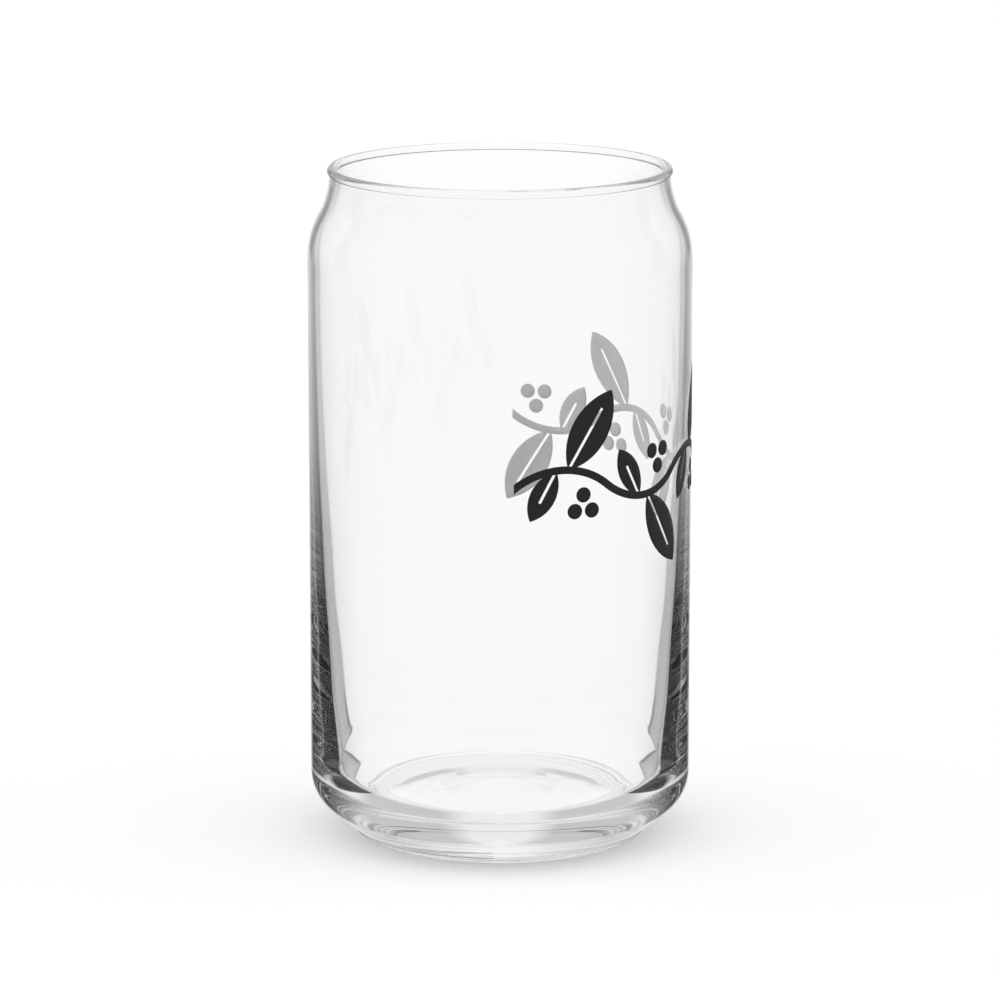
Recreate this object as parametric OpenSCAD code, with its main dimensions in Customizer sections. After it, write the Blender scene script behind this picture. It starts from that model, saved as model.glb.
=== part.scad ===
// Can-shaped drinking glass with a heavy base and a printed vine on one side.
// Millimetres, +Z up, origin at the middle of the foot, on the surface that the glass stands on.
// The print is centred on +X, and the front is -Y.

/* [Overall] */
// Height from the table to the top of the rim
height = 133.4; // [120:0.2:150]
// Outside diameter of the straight body
body_d = 75.5; // [72:0.5:84]
// Thickness of the wall from the rim down to the shoulder
wall_t = 1.4; // [1.1:0.05:2]

/* [Rim and shoulder] */
// Outside diameter over the rim bead
rim_d = 67.7; // [64:0.1:70]
// How far the rim bead stands out past the neck
bead_swell = 0.4; // [0.2:0.05:0.8]
// Length of the straight neck under the bead
neck_l = 0.2; // [0.1:0.05:3]
// Radius of the hollow curve under the neck, measured outside
neck_curve_r = 14.6; // [10:0.2:18]
// Steepest lean of the shoulder from the vertical, in degrees
shoulder_lean = 30; // [25:1:34]

/* [Heel and foot] */
// Outside diameter of the foot
foot_d = 58.4; // [52:0.2:64]
// Height of the rounded foot ring
foot_h = 1.1; // [0.6:0.1:2]
// Width of the flat that touches the table
standing_w = 2.4; // [1.2:0.1:4]
// Radius of the heel's curve where it meets the body
heel_r = 8.6; // [6:0.1:12]
// Lean of the cone between the heel's curve and the foot, in degrees from the vertical
heel_lean = 51.3; // [42:0.1:60]
// Height of the middle of the pushed-up underside above the table
punt_h = 2; // [1.2:0.1:3]
// Height of the underside's edge, just inside the foot ring
punt_edge_h = 0.8; // [0.4:0.1:1.1]

/* [Inside] */
// Height of the inside floor above the table
floor_h = 7; // [5:0.1:10]
// Radius of the curve from the inside floor into the wall
corner_r = 9; // [4:0.1:12]
// Wall thickness at the top of that curve
low_wall_t = 4.8; // [4:0.1:8]
// How late the wall starts to thicken on its way down: 1 is an even taper
thickening = 2.3; // [1:0.1:4]
// Diameter of the shallow round mark in the inside floor
mark_d = 21.4; // [12:0.2:36]
// Depth of that mark
mark_depth = 0.15; // [0.05:0.05:0.4]

/* [Print] */
// Thickness of the ink film
ink_t = 0.08; // [0.04:0.01:0.2]
// Height of the vine's middle line above the table
vine_h = 76.5; // [60:0.5:90]
// Angle that the vine covers round the body, in degrees
vine_wrap = 172; // [120:1:200]
// Number of half waves in the vine
waves = 6; // [4:1:8]
// Height of each half wave above the middle line
wave_h = 3.4; // [2:0.1:5]
// Width of the stem
stem_w = 1.5; // [0.8:0.1:2]
// Length of the large leaves
leaf_l = 17.5; // [10:0.5:18]
// Width of the large leaves
leaf_w = 7.8; // [4:0.2:8]
// Lean of the large leaves from the middle line, in degrees
leaf_lean = 58; // [40:1:80]
// Length of the small leaves
leaflet_l = 11; // [6:0.5:12]
// Width of the small leaves
leaflet_w = 5; // [3:0.2:5.6]
// Lean of the small leaves from the middle line, in degrees
leaflet_lean = 62; // [40:1:80]
// Distance along the wave from the crest to where each leaf leaves the stem
leaf_x = 1.2; // [0.4:0.1:3]
// Width of the bare vein along each leaf
vein_w = 0.55; // [0.3:0.05:0.9]
// Length of leaf beyond the end of its vein
vein_stop = 4; // [2:0.1:5]
// Diameter of the berries
berry_d = 3; // [1.6:0.1:3.4]
// Gap between the berries of a bunch
berry_gap = 0.6; // [0.3:0.1:1.2]
// Distance of a bunch's middle from the crest, along the wave
bunch_x = 4.4; // [3.5:0.1:6]
// Depth of a bunch's middle below the stem's middle line
bunch_drop = 3.8; // [3.4:0.1:6]

/* [Hidden] */
$fn = 180;

// Outside radii
body_r = body_d / 2;
rim_r = rim_d / 2;
foot_r = foot_d / 2;
neck_r = rim_r - bead_swell;

// The bead is as thick as the wall and its swell together, so the inside runs flush past it
bead_r = (wall_t + bead_swell) / 2;
bead_x = rim_r - bead_r;
bead_z = height - bead_r;
bead_start = -acos((neck_r - bead_x) / bead_r);

// Shoulder: a hollow arc under the neck and a round arc into the body, meeting at shoulder_lean.
// Where the neck is nearly as wide as the body the arcs are alike and lean less. Where it is wider they turn inward.
neck_z = bead_z + bead_r * sin(bead_start) - neck_l;
shoulder_in = body_r - neck_r;
way = shoulder_in < 0 ? -1 : 1;
arcs_r = max(abs(shoulder_in) / (1 - cos(shoulder_lean)), 2 * neck_curve_r);
lean = way * acos(1 - abs(shoulder_in) / arcs_r);
hollow_r = way * neck_curve_r;
round_r = way * (arcs_r - neck_curve_r);
neck_arc_x = neck_r + hollow_r;
round_arc_x = body_r - round_r;
round_arc_z = neck_z - arcs_r * sin(abs(lean));

// Heel: a cone from the foot ring, then an arc into the body, or the arc alone where the foot is nearly as wide
heel_turn = acos(max(cos(heel_lean), 1 - (body_r - foot_r) / heel_r));
cone_top_r = body_r - heel_r * (1 - cos(heel_turn));
cone_top_z = foot_h + (cone_top_r - foot_r) / tan(heel_lean);
heel_top_z = cone_top_z + heel_r * sin(heel_turn);

// Underside: the flat ring, a small step and a shallow dome
standing_out_r = foot_r - foot_h;
standing_in_r = standing_out_r - standing_w;
dome_edge_r = standing_in_r - punt_edge_h;
dome_rise = punt_h - punt_edge_h;
dome_r = (dome_edge_r * dome_edge_r + dome_rise * dome_rise) / (2 * dome_rise);
dome_half_angle = asin(dome_edge_r / dome_r);

// Inside: the wall's lean where it runs into the corner, and the corner's own arc
corner_lean = atan(thickening * (low_wall_t - wall_t) / (round_arc_z - floor_h - corner_r));
corner_top_z = floor_h + corner_r * (1 - sin(corner_lean));
corner_x = body_r - low_wall_t - corner_r * cos(corner_lean);

// Print
film_r = body_r + ink_t;
step = vine_wrap / waves;
half_chord = body_r * sin(step / 2);
wave_r = (half_chord * half_chord + wave_h * wave_h) / (2 * wave_h);
bunch_r = (berry_d + berry_gap) / sqrt(3);
margin = 1;

// Outline of the mark in the floor: its slope runs out over this width
mark_slope_w = 4 * mark_depth;

// Points along an arc round (x, z), between two angles
function arc(x, z, r, from, to, steps) =
    [for (i = [0 : steps]) let (a = from + (to - from) * i / steps) [x + r * cos(a), z + r * sin(a)]];

// Wall thickness of the straight body at height z
function wall_at(z) =
    wall_t + (low_wall_t - wall_t) * pow((round_arc_z - z) / (round_arc_z - corner_top_z), thickening);

// From the middle of the underside, down to the foot ring and up the outside to the neck
function outside_points() = concat(
    arc(0, punt_h - dome_r, dome_r, 90, 90 - dome_half_angle, 8),
    arc(dome_edge_r, 0, punt_edge_h, 90, 0, 4),
    arc(standing_out_r, foot_h, foot_h, -90, 0, 5),
    arc(body_r - heel_r, heel_top_z, heel_r, -heel_turn, 0, 10),
    arc(round_arc_x, round_arc_z, round_r, 0, lean, 8),
    arc(neck_arc_x, neck_z, hollow_r, 180 + lean, 180, 8)
);

// Over the bead and down the inside to the middle of the floor
function inside_points() = concat(
    arc(bead_x, bead_z, bead_r, bead_start, 180, 16),
    arc(neck_arc_x, neck_z, hollow_r + wall_t, 180, 180 + lean, 8),
    arc(round_arc_x, round_arc_z, round_r - wall_t, lean, 0, 8),
    [for (i = [1 : 15]) let (z = round_arc_z + (corner_top_z - round_arc_z) * i / 16) [body_r - wall_at(z), z]],
    arc(corner_x, floor_h + corner_r, corner_r, -corner_lean, -90, 9),
    [[mark_d / 2 + mark_slope_w, floor_h], [mark_d / 2, floor_h - mark_depth], [0, floor_h - mark_depth]]
);

// The glass: one outline, outside and inside, turned about its axis
module tumbler() {
    color([0.86, 0.92, 0.93, 0.4])
        rotate_extrude()
            polygon(concat(outside_points(), inside_points()));
}

// Height of the stem's middle line over the wave's ends, at x from the crest
function stem_z(x) = wave_h - wave_r + sqrt(wave_r * wave_r - x * x);

// A pointed leaf from (0, 0) along +X: two circles' overlap, split by a vein that stops short of the tip
module leaf(length, width) {
    side_r = (length * length + width * width) / (4 * width);
    difference() {
        intersection() {
            translate([length / 2, side_r - width / 2])
                circle(r = side_r);
            translate([length / 2, width / 2 - side_r])
                circle(r = side_r);
        }
        translate([-margin, -vein_w / 2])
            square([length - vein_stop + margin, vein_w]);
    }
}

// Half a wave of the stem, bulging up, from -half_chord to half_chord
module stem_wave() {
    intersection() {
        translate([0, wave_h - wave_r])
            difference() {
                circle(r = wave_r + stem_w / 2);
                circle(r = wave_r - stem_w / 2);
            }
        translate([-half_chord, -stem_w])
            square([2 * half_chord, wave_h + 2 * stem_w]);
    }
}

// Everything drawn on one half wave: the stem, a large leaf above it, a small leaf and three berries below
module sprig() {
    stem_wave();
    translate([leaf_x, stem_z(leaf_x)])
        rotate(leaf_lean)
            leaf(leaf_l, leaf_w);
    translate([-leaf_x, stem_z(leaf_x)])
        rotate(-180 + leaflet_lean)
            leaf(leaflet_l, leaflet_w);
    for (turn = [90, 210, 330])
        translate([bunch_x + bunch_r * cos(turn), -bunch_drop + bunch_r * sin(turn)])
            circle(d = berry_d);
}

// A flat shape, facing outward at an angle round the body, as a bar that reaches through the film
module facing(angle) {
    rotate([0, 0, angle])
        translate([body_r / 2, 0, vine_h])
            rotate([90, 0, 90])
                linear_extrude(height = body_r)
                    children();
}

// The ink: a thin ring on the body, kept only where the vine is drawn
module print() {
    color([0.08, 0.08, 0.09])
        intersection() {
            difference() {
                cylinder(h = height, r = film_r);
                translate([0, 0, -margin])
                    cylinder(h = height + 2 * margin, r = body_r);
            }
            union()
                for (i = [0 : waves - 1])
                    facing(-vine_wrap / 2 + step * (i + 0.5))
                        mirror([0, i % 2])
                            sprig();
        }
}

tumbler();
print();
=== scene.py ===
# Clear can-shaped drinking glass with a black vine printed round one side, on a pale studio floor.
# Metres, +Z up, in the part's own frame: the glass stands on z = 0, its front is -Y and the print faces +X.
import math

import bpy
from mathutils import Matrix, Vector
from mathutils.geometry import delaunay_2d_cdt


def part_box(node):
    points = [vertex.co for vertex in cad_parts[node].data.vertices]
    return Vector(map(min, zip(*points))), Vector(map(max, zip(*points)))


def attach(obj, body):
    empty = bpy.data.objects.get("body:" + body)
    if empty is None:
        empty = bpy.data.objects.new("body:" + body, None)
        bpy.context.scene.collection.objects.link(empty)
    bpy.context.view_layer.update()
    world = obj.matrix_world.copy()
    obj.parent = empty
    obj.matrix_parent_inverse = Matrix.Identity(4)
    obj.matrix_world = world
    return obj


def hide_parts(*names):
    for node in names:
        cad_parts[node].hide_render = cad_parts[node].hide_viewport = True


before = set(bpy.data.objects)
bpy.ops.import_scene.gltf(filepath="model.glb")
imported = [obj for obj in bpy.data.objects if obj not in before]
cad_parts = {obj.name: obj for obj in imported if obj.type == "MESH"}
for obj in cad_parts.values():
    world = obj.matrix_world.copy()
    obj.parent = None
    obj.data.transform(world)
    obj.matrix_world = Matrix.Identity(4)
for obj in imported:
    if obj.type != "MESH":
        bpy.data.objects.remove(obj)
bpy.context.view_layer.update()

MM = 0.001

# Outline of the glass: lengths in metres, leans in degrees
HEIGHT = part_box("tumbler")[1].z
BODY_R = 37.75 * MM
RIM_R = 33.85 * MM
FOOT_R = 29.2 * MM
WALL_T = 1.4 * MM
BEAD_SWELL = 0.4 * MM
NECK_L = 0.2 * MM
NECK_CURVE_R = 14.6 * MM
SHOULDER_LEAN = 30
FOOT_H = 1.1 * MM
STANDING_W = 2.4 * MM
HEEL_R = 8.6 * MM
HEEL_LEAN = 51.3
PUNT_H = 2.0 * MM
PUNT_EDGE_H = 0.8 * MM
FLOOR_H = 7 * MM
CORNER_R = 9 * MM
LOW_WALL_T = 4.8 * MM
THICKENING = 2.3
MARK_R = 10.7 * MM
MARK_DEPTH = 0.15 * MM
MARK_SLOPE_W = 4 * MARK_DEPTH
RIPPLE_H = 0.03 * MM
RIPPLE_L = 22 * MM
CREASE_W = 0.02 * MM

# Bead, neck and shoulder, worked out from these: radii and the middles of the arcs
NECK_R = RIM_R - BEAD_SWELL
BEAD_R = (WALL_T + BEAD_SWELL) / 2
BEAD_X = RIM_R - BEAD_R
BEAD_Z = HEIGHT - BEAD_R
BEAD_START = -math.degrees(math.acos((NECK_R - BEAD_X) / BEAD_R))
CREASE_Z = BEAD_Z + BEAD_R * math.sin(math.radians(BEAD_START))
NECK_X = NECK_R + NECK_CURVE_R
NECK_Z = CREASE_Z - NECK_L
SHOULDER_R = (BODY_R - NECK_R) / (1 - math.cos(math.radians(SHOULDER_LEAN))) - NECK_CURVE_R
SHOULDER_X = BODY_R - SHOULDER_R
SHOULDER_Z = NECK_Z - (NECK_CURVE_R + SHOULDER_R) * math.sin(math.radians(SHOULDER_LEAN))

# The vine and the ink film
VINE_H = 76.5 * MM
VINE_WRAP = math.radians(172)
WAVES = 6
WAVE_H = 3.4 * MM
STEM_W = 1.5 * MM
LEAF_L, LEAF_W, LEAF_LEAN = 17.5 * MM, 7.8 * MM, 58
LEAFLET_L, LEAFLET_W, LEAFLET_LEAN = 11 * MM, 5 * MM, 62
LEAF_X = 1.2 * MM
VEIN_W = 0.55 * MM
VEIN_STOP = 4 * MM
BERRY_D = 3 * MM
BERRY_GAP = 0.6 * MM
BUNCH_X = 4.4 * MM
BUNCH_DROP = 3.8 * MM
INK_T = 0.08 * MM
INK_BITE = 0.015 * MM

# Facets: steps along each stretch of an outline, the cells of the ink, and tolerances
SEGMENTS = 288
DOME_STEPS, EDGE_STEPS, FOOT_STEPS, CONE_STEPS, HEEL_STEPS, BODY_STEPS = 16, 6, 8, 6, 24, 16
SHOULDER_STEPS, BEAD_STEPS, WALL_STEPS, CORNER_STEPS, FLOOR_STEPS, MARK_STEPS = 14, 60, 100, 20, 10, 8
LEAF_STEPS, STEM_STEPS, BERRY_STEPS = 40, 32, 40
CELL_W, CELL_H = 0.6 * MM, 1.2 * MM
NEAR_AXIS = 1e-9
WELD = 1e-8

# What delaunay_2d_cdt gives back: only the triangles inside the outlines
INSIDE_ONLY = 1

# The glass, how much light passes it by height, and the ink as two colours and a roughness
GLASS_TONE = 0.99
GLASS_IOR = 1.5
PASSING_HEIGHTS = (3 * MM, 14 * MM)
PASSING_LIGHT = (0.5, 0.95)
INK_OUTSIDE = ((0.012, 0.012, 0.013), (0.022, 0.022, 0.023), 0.42)
INK_INSIDE = ((0.6, 0.6, 0.6), (0.66, 0.66, 0.66), 0.6)
GRAIN_SCALE, GRAIN_DETAIL = 900, 4
GRAIN_STRENGTH, GRAIN_H = 0.15, 0.02 * MM
SHEEN_SPREAD = 0.08

# The photograph's view
AIM_Z = 66.57 * MM
VIEW_DISTANCE = 1.0459
VIEW_ELEVATION = math.radians(11.89)
LENS = 190.15
SENSOR = 36
CLIP_START, CLIP_END = 0.05, 20

# The floor, and the glowing table that the glass shows instead of it: painted light, brighter at the quarters
# of a turn
FLOOR_HALF = 4.0
FLOOR_DROP = 0.05 * MM
FLOOR_TONE = 0.82
FLOOR_GLOW = 0.2
TABLE_HALF = 37 * MM
# Painted light: the glow of the table round the foot, brighter at the quarters of a turn and darker between
# them
TABLE_GLOW_TONES = (0.88, 0.58)
TABLE_GLOW_SPAN = (14, 26)

# The studio for rays that went straight through the glass: tones, and spans in degrees.
# FIELD_WIDTHS has stops of elevation and half width.
QUARTER, EIGHTH = 90, 45
FIELD_WHITE = 1.035
FIELD_GREY = (0.47, 0.68)
FIELD_GREY_SPAN = (0, 8)
FIELD_EDGE = 0.22
FIELD_EDGE_SPAN = (0.4, 0.9)
FIELD_EDGE_TOP = (-21, -19)
FIELD_BLUR = 0.5
FIELD_WIDTHS = [(-26, 18.5), (-15, 12.8)]
HIGH_SPAN = (20, 25)
HIGH_SHARE = 0.05

# The studio for rays that the glass turned back. SIDE_TONES and GLOSS_TONES have stops of elevation and tone,
# and BACK_TONES of degrees from the back and tone.
BACKDROP_TONE = 0.88
BACKDROP_SPAN = (40, 50)
WHITE_SPAN = (8, 20)
GLOSS_WHITE_SPAN = (7, 20)
FRONT_TONE = 0.25
FRONT_SPAN = (70, 100)
STRIPE_TONE = 0.18
STRIPE_AT = 20
STRIPE_SPAN = (6, 9)
STRIPE_FOOT = (-9, -6)
SIDE_TONES = [(-75, 0.85), (-60, 0.55), (-50, 0.3), (-42, 0.08), (-34, 0.02), (-19, 0.015), (-16.5, 0.12),
              (-12, 0.27), (-4, 0.46), (4, 0.52), (30, 0.6)]
GLOSS_TONES = [(-30, 0.1), (-17, 0.08), (-14.5, 0.02), (-13, 0.03), (-12.1, 0.2), (-11.2, 0.5), (0, 0.6)]
BACK_TONES = [(5, 0.92), (20, 0.84), (35, 0.7), (52, 0.56), (75, 0.25), (100, 0.1), (140, 0.08), (180, 0.2)]
UPWARD_SPAN = (-12, -6)
STEEP_SPAN = (25, 60)
STEEP_TONE = 0.9
TRAPPED_TURNS, TRAPPED_SHARE = 8, 0.35
DEEP_TURNS, DEEP_TONE = 32, 0.4
CROSSED_TIMES, CROSSED_TONE = 2, 0.95

# How far the light on matt surfaces leans to the two sides: 0 is even, 1 leaves none at the front and back
SIDE_LIGHT = 1.0

# How often light may turn inside the heavy base
REFLECTIONS = 128
CROSSINGS = 24

SCENE = bpy.context.scene


def arc(x, z, r, start, end, steps):
    """Points along an arc round (x, z), between two angles in degrees."""
    turns = [math.radians(start + (end - start) * i / steps) for i in range(steps + 1)]
    return [(x + r * math.cos(a), z + r * math.sin(a)) for a in turns]


def line(start, end, steps):
    """Points between two ends, without the ends."""
    shares = [i / steps for i in range(1, steps)]
    return [(start[0] + (end[0] - start[0]) * s, start[1] + (end[1] - start[1]) * s) for s in shares]


def underside():
    """From the middle of the dome, over the standing ring, to the side of the foot."""
    ring_r = FOOT_R - FOOT_H
    dome_edge_r = ring_r - STANDING_W - PUNT_EDGE_H
    dome_rise = PUNT_H - PUNT_EDGE_H
    dome_r = (dome_edge_r ** 2 + dome_rise ** 2) / (2 * dome_rise)
    dome_half = math.degrees(math.asin(dome_edge_r / dome_r))
    dome = arc(0, PUNT_H - dome_r, dome_r, 90, 90 - dome_half, DOME_STEPS)
    edge = arc(dome_edge_r, 0, PUNT_EDGE_H, 90, 0, EDGE_STEPS)
    foot = arc(ring_r, FOOT_H, FOOT_H, -90, 0, FOOT_STEPS)
    return dome + edge + foot


def heel():
    """From the top of the foot's cone to the bottom of the straight body."""
    lean = math.radians(HEEL_LEAN)
    cone_top_r = BODY_R - HEEL_R * (1 - math.cos(lean))
    cone_top_z = FOOT_H + (cone_top_r - FOOT_R) / math.tan(lean)
    heel_top_z = cone_top_z + HEEL_R * math.sin(lean)
    return arc(BODY_R - HEEL_R, heel_top_z, HEEL_R, -HEEL_LEAN, 0, HEEL_STEPS)


def shoulder_outside():
    """Up the shoulder and the neck to the crease under the bead."""
    rise = arc(SHOULDER_X, SHOULDER_Z, SHOULDER_R, 0, SHOULDER_LEAN, SHOULDER_STEPS)
    neck = arc(NECK_X, NECK_Z, NECK_CURVE_R, 180 + SHOULDER_LEAN, 180, SHOULDER_STEPS)
    return rise + neck[1:] + [(NECK_R, CREASE_Z - CREASE_W)]


def shoulder_inside():
    """Down the inside of the neck and the shoulder."""
    neck = arc(NECK_X, NECK_Z, NECK_CURVE_R + WALL_T, 180, 180 + SHOULDER_LEAN, SHOULDER_STEPS)
    fall = arc(SHOULDER_X, SHOULDER_Z, SHOULDER_R - WALL_T, SHOULDER_LEAN, 0, SHOULDER_STEPS)
    return neck + fall[1:]


def inside_wall():
    """Down the inside wall, which thickens and ripples more and more, and round the floor's corner."""
    corner_run = SHOULDER_Z - FLOOR_H - CORNER_R
    lean = math.atan(THICKENING * (LOW_WALL_T - WALL_T) / corner_run)
    corner_top_z = FLOOR_H + CORNER_R * (1 - math.sin(lean))
    corner_x = BODY_R - LOW_WALL_T - CORNER_R * math.cos(lean)
    wall = []
    for i in range(1, WALL_STEPS):
        share = i / WALL_STEPS
        z = SHOULDER_Z + (corner_top_z - SHOULDER_Z) * share
        thickness = WALL_T + (LOW_WALL_T - WALL_T) * share ** THICKENING
        ripple = RIPPLE_H * math.sin(2 * math.pi * z / RIPPLE_L) * share ** 2
        wall.append((BODY_R - thickness + ripple, z))
    return wall + arc(corner_x, FLOOR_H + CORNER_R, CORNER_R, -math.degrees(lean), -90, CORNER_STEPS)


def inside_floor(start):
    """From the corner of the floor to its middle, with the faint round mark."""
    mark = [(MARK_R + MARK_SLOPE_W, FLOOR_H), (MARK_R, FLOOR_H - MARK_DEPTH), (0, FLOOR_H - MARK_DEPTH)]
    return line(start, mark[0], FLOOR_STEPS) + mark[:2] + line(mark[1], mark[2], MARK_STEPS) + mark[2:]


def glass_outline():
    """The section of the glass, from the middle of its underside round to the middle of its floor."""
    bottom, bend, top = underside(), heel(), shoulder_outside()
    cone = line(bottom[-1], bend[0], CONE_STEPS)
    body = line(bend[-1], top[0], BODY_STEPS)
    bead = arc(BEAD_X, BEAD_Z, BEAD_R, BEAD_START, 180, BEAD_STEPS)
    inside = shoulder_inside() + inside_wall()
    return bottom + cone + bend + body + top + bead + inside + inside_floor(inside[-1])


def revolve(name, outline):
    """A closed mesh object, turned about Z from an outline whose two ends lie on the axis."""
    places, faces, rings = [], [], []
    for r, z in outline:
        count = 1 if r < NEAR_AXIS else SEGMENTS
        rings.append([len(places) + k for k in range(count)])
        turns = [2 * math.pi * k / SEGMENTS for k in range(count)]
        places += [(r * math.cos(a), r * math.sin(a), z) for a in turns]
    for low, high in zip(rings, rings[1:]):
        for k in range(SEGMENTS):
            n = (k + 1) % SEGMENTS
            if len(low) == 1:
                faces.append((low[0], high[n], high[k]))
            elif len(high) == 1:
                faces.append((low[k], low[n], high[0]))
            else:
                faces.append((low[k], low[n], high[n], high[k]))
    return mesh_object(name, places, faces)


def mesh_object(name, places, faces):
    """A smooth-shaded mesh object in the scene."""
    mesh = bpy.data.meshes.new(name)
    mesh.from_pydata(places, [], faces)
    mesh.validate()
    mesh.shade_smooth()
    piece = bpy.data.objects.new(name, mesh)
    SCENE.collection.objects.link(piece)
    return piece


def leaf_outline(length, width):
    """A pointed leaf along +X from (0, 0), split by a vein that stops short of the tip."""
    side_r = (length ** 2 + width ** 2) / (4 * width)
    vein = VEIN_W / 2
    split_end = length - VEIN_STOP
    drop = side_r - width / 2
    split_start = length / 2 - math.sqrt(side_r ** 2 - (vein + drop) ** 2)
    xs = [split_start + (length - split_start) * i / LEAF_STEPS for i in range(LEAF_STEPS + 1)]
    upper = [(x, math.sqrt(max(side_r ** 2 - (x - length / 2) ** 2, 0)) - drop) for x in xs]
    upper[-1] = (length, 0)
    lower = [(x, -y) for x, y in reversed(upper[:-1])]
    return [(split_end, vein)] + upper + lower + [(split_end, -vein)]


def turned(points, angle, x, y):
    """Flat points turned by an angle in degrees, then moved."""
    c, s = math.cos(math.radians(angle)), math.sin(math.radians(angle))
    return [(x + px * c - py * s, y + px * s + py * c) for px, py in points]


def sprig_outlines():
    """The flat shapes on one half wave: stem, leaf, small leaf and three berries."""
    half_chord = BODY_R * math.sin(VINE_WRAP / WAVES / 2)
    wave_r = (half_chord ** 2 + WAVE_H ** 2) / (2 * WAVE_H)

    def stem_z(x, r=wave_r):
        return WAVE_H - wave_r + math.sqrt(r ** 2 - x ** 2)

    xs = [half_chord * (2 * i / STEM_STEPS - 1) for i in range(STEM_STEPS + 1)]
    stem = [(x, stem_z(x, wave_r - STEM_W / 2)) for x in xs]
    stem += [(x, stem_z(x, wave_r + STEM_W / 2)) for x in reversed(xs)]
    leaf = turned(leaf_outline(LEAF_L, LEAF_W), LEAF_LEAN, LEAF_X, stem_z(LEAF_X))
    leaflet = turned(leaf_outline(LEAFLET_L, LEAFLET_W), LEAFLET_LEAN - 180, -LEAF_X, stem_z(LEAF_X))
    bunch_r = (BERRY_D + BERRY_GAP) / math.sqrt(3)
    berries = []
    for turn in (90, 210, 330):
        x = BUNCH_X + bunch_r * math.cos(math.radians(turn))
        y = bunch_r * math.sin(math.radians(turn)) - BUNCH_DROP
        berries.append(arc(x, y, BERRY_D / 2, 0, 360, BERRY_STEPS)[:-1])
    return [stem, leaf[::-1], leaflet[::-1], *berries]


def vine_outlines():
    """Every shape of the vine as (angle round the body, height) points, listed anticlockwise."""
    shapes = []
    step = VINE_WRAP / WAVES
    for i in range(WAVES):
        middle = -VINE_WRAP / 2 + step * (i + 0.5)
        up = -1 if i % 2 else 1
        for points in sprig_outlines():
            placed = [(middle + math.asin(x / BODY_R), VINE_H + up * y) for x, y in points]
            shapes.append(placed if signed_area(placed) > 0 else placed[::-1])
    return shapes


def signed_area(points):
    """Twice the area inside a flat outline, positive if it's listed anticlockwise."""
    return sum(a[0] * b[1] - b[0] * a[1] for a, b in zip(points, points[1:] + points[:1]))


def flat_vine():
    """The vine laid flat and meshed: its points (distance round the body, height) and its triangles."""
    corners, faces = [], []
    for shape in vine_outlines():
        faces.append([len(corners) + k for k in range(len(shape))])
        corners += [Vector((angle * BODY_R, z)) for angle, z in shape]
    low = [min(c[i] for c in corners) for i in (0, 1)]
    high = [max(c[i] for c in corners) for i in (0, 1)]
    columns = int((high[0] - low[0]) / CELL_W)
    rows = int((high[1] - low[1]) / CELL_H)
    grid = [Vector((low[0] + CELL_W * (i + 0.5), low[1] + CELL_H * (j + 0.5 * (i % 2))))
            for i in range(columns) for j in range(rows)]
    flat, _, triangles, _, _, owners = delaunay_2d_cdt(corners + grid, [], faces, INSIDE_ONLY, WELD, True)
    triangles = [t for t, owner in zip(triangles, owners) if owner]
    used = sorted({v for t in triangles for v in t})
    number = {v: k for k, v in enumerate(used)}
    return [flat[v] for v in used], [[number[v] for v in t] for t in triangles]


def make_print():
    """The ink film: the flat vine wrapped on the body, as an outer skin, an inner skin and their edge."""
    points, triangles = flat_vine()
    count = len(points)
    places = [(r * math.cos(p.x / BODY_R), r * math.sin(p.x / BODY_R), p.y)
              for r in (BODY_R + INK_T, BODY_R - INK_BITE) for p in points]
    directed = {(a, b) for t in triangles for a, b in zip(t, t[1:] + t[:1])}
    rim = sorted((a, b) for a, b in directed if (b, a) not in directed)
    inner = [[v + count for v in reversed(t)] for t in triangles]
    sides = [[b, a, a + count, b + count] for a, b in rim]
    piece = mesh_object("print_film", places, triangles + inner + sides)
    skins_end = len(triangles) + len(inner)
    for polygon in piece.data.polygons[len(triangles):skins_end]:
        polygon.material_index = 1
    for polygon in piece.data.polygons[skins_end:]:
        polygon.use_smooth = False
    return piece


def new_material(name):
    """A material with an empty node tree and its output node."""
    material = bpy.data.materials.new(name)
    material.use_nodes = True
    material.node_tree.nodes.clear()
    return material, material.node_tree, material.node_tree.nodes.new("ShaderNodeOutputMaterial")


def add_node(tree, kind, inputs=None, **settings):
    """A node of a kind, with its properties set and its inputs given sockets or plain values."""
    node = tree.nodes.new(kind)
    for name, value in settings.items():
        setattr(node, name, value)
    for name, value in (inputs or {}).items():
        if isinstance(value, bpy.types.NodeSocket):
            tree.links.new(value, node.inputs[name])
        else:
            node.inputs[name].default_value = value
    return node


def math_node(tree, operation, *values):
    """A Math node's output, from sockets or numbers."""
    return add_node(tree, "ShaderNodeMath", dict(enumerate(values)), operation=operation).outputs[0]


def ramp(tree, value, span, start, end):
    """A straight ramp from start to end while a value goes through a span, flat outside it."""
    inputs = {"Value": value, "From Min": span[0], "From Max": span[1], "To Min": start, "To Max": end}
    return add_node(tree, "ShaderNodeMapRange", inputs).outputs["Result"]


def choose(tree, share, off, on):
    """off where share is 0, on where it is 1."""
    return add_node(tree, "ShaderNodeMix", {"Factor": share, "A": off, "B": on}).outputs["Result"]


def mix_shaders(tree, share, off, on):
    """The shader off where share is 0, on where it is 1."""
    return add_node(tree, "ShaderNodeMixShader", {0: share, 1: off, 2: on}).outputs[0]


def by_degrees(tree, angle, stops):
    """A tone or a width that follows an angle, from (degrees, value) stops."""
    lowest, highest = stops[0][0], stops[-1][0]
    node = add_node(tree, "ShaderNodeValToRGB", {"Fac": ramp(tree, angle, (lowest, highest), 0, 1)})
    elements = node.color_ramp.elements
    elements.remove(elements[1])
    for place, (degrees, value) in enumerate(stops):
        position = (degrees - lowest) / (highest - lowest)
        element = elements.new(position) if place else elements[0]
        element.position = position
        element.color = (value, value, value, 1)
    return node.outputs["Color"]


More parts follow.
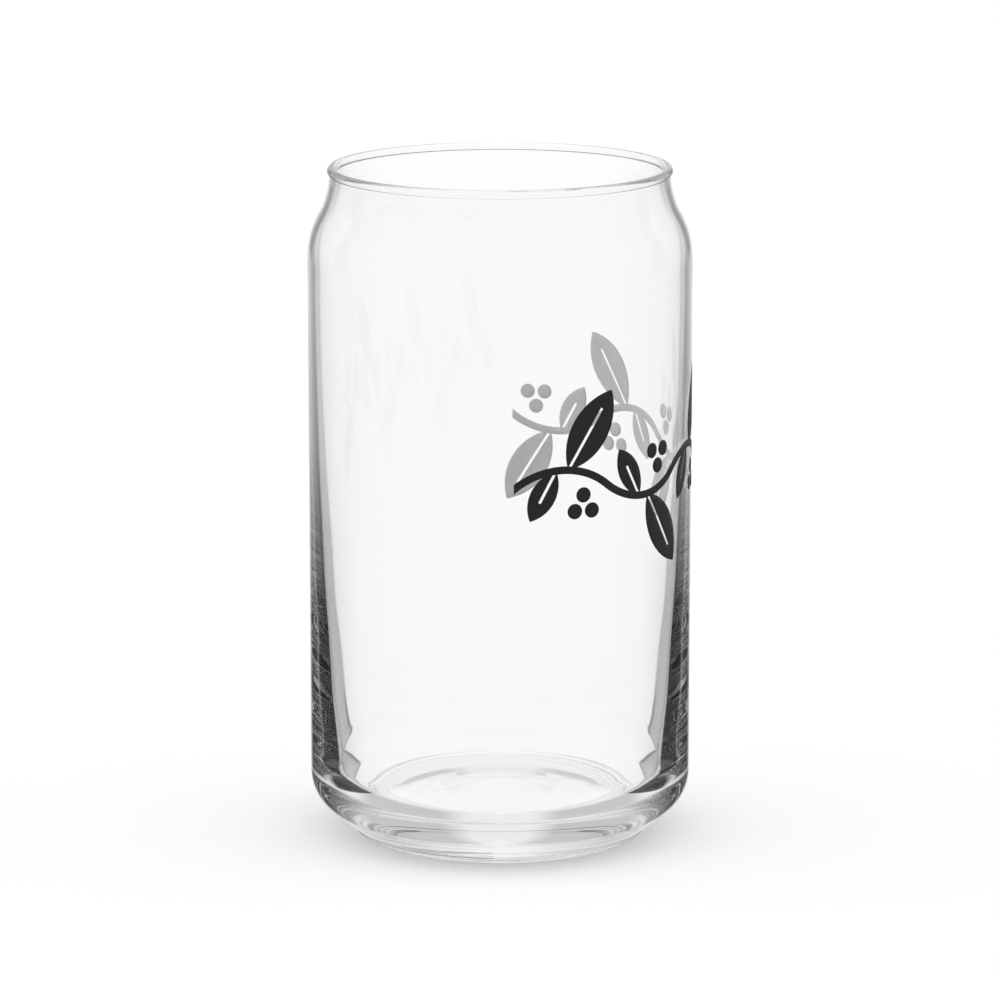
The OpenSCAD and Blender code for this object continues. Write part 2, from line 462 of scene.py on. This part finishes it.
def split_of(tree, vector):
    """The X, Y and Z of a vector, as a node's outputs."""
    return add_node(tree, "ShaderNodeSeparateXYZ", {0: vector}).outputs


def azimuth_of(tree, split):
    """Degrees round from the back, +Y, towards the print, +X."""
    return math_node(tree, "DEGREES", math_node(tree, "ARCTAN2", split["X"], split["Y"]))


def from_nearest(tree, angle, step):
    """How far an angle is from the nearest whole number of steps, all in degrees."""
    return math_node(tree, "PINGPONG", angle, step / 2)


def more_than(tree, count, limit):
    """1 where a whole number is above a limit."""
    return math_node(tree, "GREATER_THAN", count, limit + 0.5)


def glassy_ray(tree, path):
    """1 for a ray that comes from a gloss or from glass."""
    return math_node(tree, "MAXIMUM", path["Is Glossy Ray"], path["Is Transmission Ray"])


def turned_back_ray(tree, path):
    """1 for a ray that went into the glass and was turned back by a surface of it."""
    turned_back = more_than(tree, path["Glossy Depth"], 0)
    entered = more_than(tree, path["Transmission Depth"], 0)
    return math_node(tree, "MULTIPLY", turned_back, entered)


def glass_material():
    """Clear glass. Shadow and diffuse rays pass straight through, with less light left near the base."""
    material, tree, output = new_material("clear_glass")
    colour = (GLASS_TONE, GLASS_TONE, GLASS_TONE, 1)
    glass = add_node(tree, "ShaderNodeBsdfPrincipled", {
        "Base Color": colour, "Roughness": 0.0, "IOR": GLASS_IOR, "Transmission Weight": 1.0})
    height = split_of(tree, add_node(tree, "ShaderNodeNewGeometry").outputs["Position"])["Z"]
    passing = ramp(tree, height, PASSING_HEIGHTS, *PASSING_LIGHT)
    clear = add_node(tree, "ShaderNodeBsdfTransparent", {"Color": passing})
    path = add_node(tree, "ShaderNodeLightPath").outputs
    light_ray = math_node(tree, "MAXIMUM", path["Is Shadow Ray"], path["Is Diffuse Ray"])
    surface = mix_shaders(tree, light_ray, glass.outputs[0], clear.outputs[0])
    tree.links.new(surface, output.inputs["Surface"])
    return material


def ink_material(name, dark, light, roughness):
    """Fired ink, slightly uneven in colour and sheen, with a fine grain."""
    material, tree, output = new_material(name)
    place = add_node(tree, "ShaderNodeTexCoord").outputs["Object"]
    grain = add_node(tree, "ShaderNodeTexNoise", {
        "Scale": GRAIN_SCALE, "Detail": GRAIN_DETAIL, "Vector": place}).outputs["Fac"]
    shade = add_node(tree, "ShaderNodeMix", {
        "A": (*dark, 1), "B": (*light, 1), "Factor": grain}, data_type="RGBA")
    rough = ramp(tree, grain, (0, 1), roughness - SHEEN_SPREAD, roughness + SHEEN_SPREAD)
    bump = add_node(tree, "ShaderNodeBump", {
        "Strength": GRAIN_STRENGTH, "Distance": GRAIN_H, "Height": grain})
    ink = add_node(tree, "ShaderNodeBsdfPrincipled", {
        "Base Color": shade.outputs["Result"], "Roughness": rough, "Normal": bump.outputs["Normal"]})
    tree.links.new(ink.outputs[0], output.inputs["Surface"])
    return material


def make_camera():
    """The camera where the photograph was taken from."""
    data = bpy.data.cameras.new("camera")
    data.lens = LENS
    data.sensor_width = SENSOR
    data.clip_start, data.clip_end = CLIP_START, CLIP_END
    camera = bpy.data.objects.new("camera", data)
    SCENE.collection.objects.link(camera)
    back = Vector((0, -math.cos(VIEW_ELEVATION), math.sin(VIEW_ELEVATION)))
    camera.location = Vector((0, 0, AIM_Z)) + back * VIEW_DISTANCE
    camera.rotation_mode = "QUATERNION"
    camera.rotation_quaternion = (-back).to_track_quat("-Z", "Y")
    SCENE.camera = camera


def lit_floor(tree, path):
    """The floor as it is seen directly: matt, and white to the camera where it isn't in shadow."""
    matte = add_node(tree, "ShaderNodeBsdfDiffuse", {"Color": (FLOOR_TONE, FLOOR_TONE, FLOOR_TONE, 1)})
    strength = math_node(tree, "MULTIPLY", path["Is Camera Ray"], FLOOR_GLOW)
    glow = add_node(tree, "ShaderNodeEmission", {"Strength": strength})
    return add_node(tree, "ShaderNodeAddShader", {0: matte.outputs[0], 1: glow.outputs[0]}).outputs[0]


def floor_from_glass(tree, path):
    """What rays from the glass find: if the glass turned them back, a table close round the foot that glows
    with painted light, brighter at the quarters of a turn and darker between them; otherwise nothing, so that
    they see the studio."""
    split = split_of(tree, add_node(tree, "ShaderNodeNewGeometry").outputs["Position"])
    aside, along = (math_node(tree, "ABSOLUTE", split[axis]) for axis in "XY")
    close = math_node(tree, "LESS_THAN", math_node(tree, "MAXIMUM", aside, along), TABLE_HALF)
    from_quarter = from_nearest(tree, azimuth_of(tree, split), QUARTER)
    # Painted light and shade: the table glows brighter near the quarters of a turn and darker between them
    tone = ramp(tree, from_quarter, TABLE_GLOW_SPAN, *TABLE_GLOW_TONES)
    table_glow = add_node(tree, "ShaderNodeEmission", {"Color": tone})
    away = add_node(tree, "ShaderNodeBsdfTransparent")
    on_glowing_table = math_node(tree, "MULTIPLY", close, turned_back_ray(tree, path))
    return mix_shaders(tree, on_glowing_table, away.outputs[0], table_glow.outputs[0])


def make_floor():
    """A pale floor, just below the foot."""
    corners = [(x * FLOOR_HALF, y * FLOOR_HALF, -FLOOR_DROP) for x, y in ((-1, -1), (1, -1), (1, 1), (-1, 1))]
    floor = mesh_object("floor", corners, [(0, 1, 2, 3)])
    material, tree, output = new_material("floor")
    path = add_node(tree, "ShaderNodeLightPath").outputs
    surface = mix_shaders(tree, glassy_ray(tree, path), lit_floor(tree, path), floor_from_glass(tree, path))
    tree.links.new(surface, output.inputs["Surface"])
    floor.data.materials.append(material)


def through_tone(tree, azimuth, elevation):
    """For rays that went straight through: a white field at every eighth of a turn, with a dark line along
    its low edges, grey between the fields, and dark high up."""
    from_eighth = from_nearest(tree, azimuth, EIGHTH)
    past_field = math_node(tree, "SUBTRACT", from_eighth, by_degrees(tree, elevation, FIELD_WIDTHS))
    beside = ramp(tree, past_field, FIELD_GREY_SPAN, *FIELD_GREY)
    field = choose(tree, ramp(tree, past_field, (-FIELD_BLUR, FIELD_BLUR), 1, 0), beside, FIELD_WHITE)
    at_edge = ramp(tree, math_node(tree, "ABSOLUTE", past_field), FIELD_EDGE_SPAN, 1, 0)
    low_edge = math_node(tree, "MULTIPLY", at_edge, ramp(tree, elevation, FIELD_EDGE_TOP, 1, 0))
    edged = choose(tree, low_edge, field, FIELD_EDGE)
    return math_node(tree, "MULTIPLY", edged, ramp(tree, elevation, HIGH_SPAN, 1, HIGH_SHARE))


def quarter_tone(tree, azimuth, elevation, side_tones, white_span):
    """For rays that a surface turned back: white at the back, dark at the other quarters of a turn. Between
    the quarters a side follows the elevation, with a dark stripe from just below the horizon up."""
    from_back = math_node(tree, "ABSOLUTE", azimuth)
    from_quarter = from_nearest(tree, azimuth, QUARTER)
    white = choose(tree, ramp(tree, from_back, BACKDROP_SPAN, 1, 0), FRONT_TONE, BACKDROP_TONE)
    to_front = ramp(tree, from_back, FRONT_SPAN, 0, 1)
    side = choose(tree, to_front, by_degrees(tree, elevation, side_tones), FRONT_TONE)
    from_stripe = math_node(tree, "ABSOLUTE", math_node(tree, "SUBTRACT", from_quarter, STRIPE_AT))
    on_stripe = ramp(tree, from_stripe, STRIPE_SPAN, 1, 0)
    stripe = math_node(tree, "MULTIPLY", on_stripe, ramp(tree, elevation, STRIPE_FOOT, 0, 1))
    side = choose(tree, stripe, side, STRIPE_TONE)
    return choose(tree, ramp(tree, from_quarter, white_span, 1, 0), side, white)


def upward_tone(tree, azimuth, elevation, turns):
    """For rays that were turned back again and leave upwards: pale at the back and darker round to the front,
    less of that where they were trapped for long, and pale again where they leave steeply."""
    from_back = math_node(tree, "ABSOLUTE", azimuth)
    kept = choose(tree, more_than(tree, turns, TRAPPED_TURNS), 1, TRAPPED_SHARE)
    upward = math_node(tree, "MULTIPLY", by_degrees(tree, from_back, BACK_TONES), kept)
    return choose(tree, ramp(tree, elevation, STEEP_SPAN, 0, 1), upward, STEEP_TONE)


def turned_back_tone(tree, azimuth, elevation, turns):
    """For rays that were turned back inside the glass, by how often and how steeply."""
    once = quarter_tone(tree, azimuth, elevation, SIDE_TONES, WHITE_SPAN)
    again = math_node(tree, "MULTIPLY", more_than(tree, turns, 1), ramp(tree, elevation, UPWARD_SPAN, 0, 1))
    inside = choose(tree, again, once, upward_tone(tree, azimuth, elevation, turns))
    return choose(tree, more_than(tree, turns, DEEP_TURNS), inside, DEEP_TONE)


def studio_tone(tree, direction, path):
    """What rays from the glass see, by their direction and by how often they turned back and crossed it."""
    azimuth = azimuth_of(tree, direction)
    elevation = math_node(tree, "DEGREES", math_node(tree, "ARCSINE", direction["Z"]))
    turns, crossings = path["Glossy Depth"], path["Transmission Depth"]
    outside = quarter_tone(tree, azimuth, elevation, GLOSS_TONES, GLOSS_WHITE_SPAN)
    inside = turned_back_tone(tree, azimuth, elevation, turns)
    reflected = choose(tree, more_than(tree, crossings, 0), outside, inside)
    reflected = choose(tree, more_than(tree, crossings, CROSSED_TIMES), reflected, CROSSED_TONE)
    return choose(tree, more_than(tree, turns, 0), through_tone(tree, azimuth, elevation), reflected)


def plain_light(tree, direction):
    """The light on matt surfaces: more from the two sides, less from the front and the back."""
    towards_sides, towards_front = (math_node(tree, "POWER", direction[axis], 2) for axis in "XY")
    lean = math_node(tree, "SUBTRACT", towards_sides, towards_front)
    return math_node(tree, "MULTIPLY_ADD", lean, SIDE_LIGHT, 1)


def make_world():
    """The studio: white to the camera, plain light on matt surfaces, and fields and sides for the glass."""
    world = bpy.data.worlds.new("world")
    world.use_nodes = True
    tree = world.node_tree
    tree.nodes.clear()
    path = add_node(tree, "ShaderNodeLightPath").outputs
    direction = split_of(tree, add_node(tree, "ShaderNodeTexCoord").outputs["Generated"])
    plain = choose(tree, path["Is Camera Ray"], plain_light(tree, direction), 1.0)
    tone = choose(tree, glassy_ray(tree, path), plain, studio_tone(tree, direction, path))
    sky = add_node(tree, "ShaderNodeBackground", {"Color": tone})
    output = add_node(tree, "ShaderNodeOutputWorld")
    tree.links.new(sky.outputs[0], output.inputs["Surface"])
    SCENE.world = world


make_camera()
tumbler = revolve("tumbler_glass", glass_outline())
tumbler.data.materials.append(glass_material())
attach(tumbler, "root")
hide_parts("tumbler")

film = make_print()
film.data.materials.append(ink_material("ink_outside", *INK_OUTSIDE))
film.data.materials.append(ink_material("ink_inside", *INK_INSIDE))
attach(film, "root")
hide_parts("print")

make_floor()
make_world()
SCENE.view_settings.view_transform = "Standard"
SCENE.cycles.glossy_bounces = REFLECTIONS
SCENE.cycles.transmission_bounces = CROSSINGS
SCENE.cycles.max_bounces = REFLECTIONS + CROSSINGS
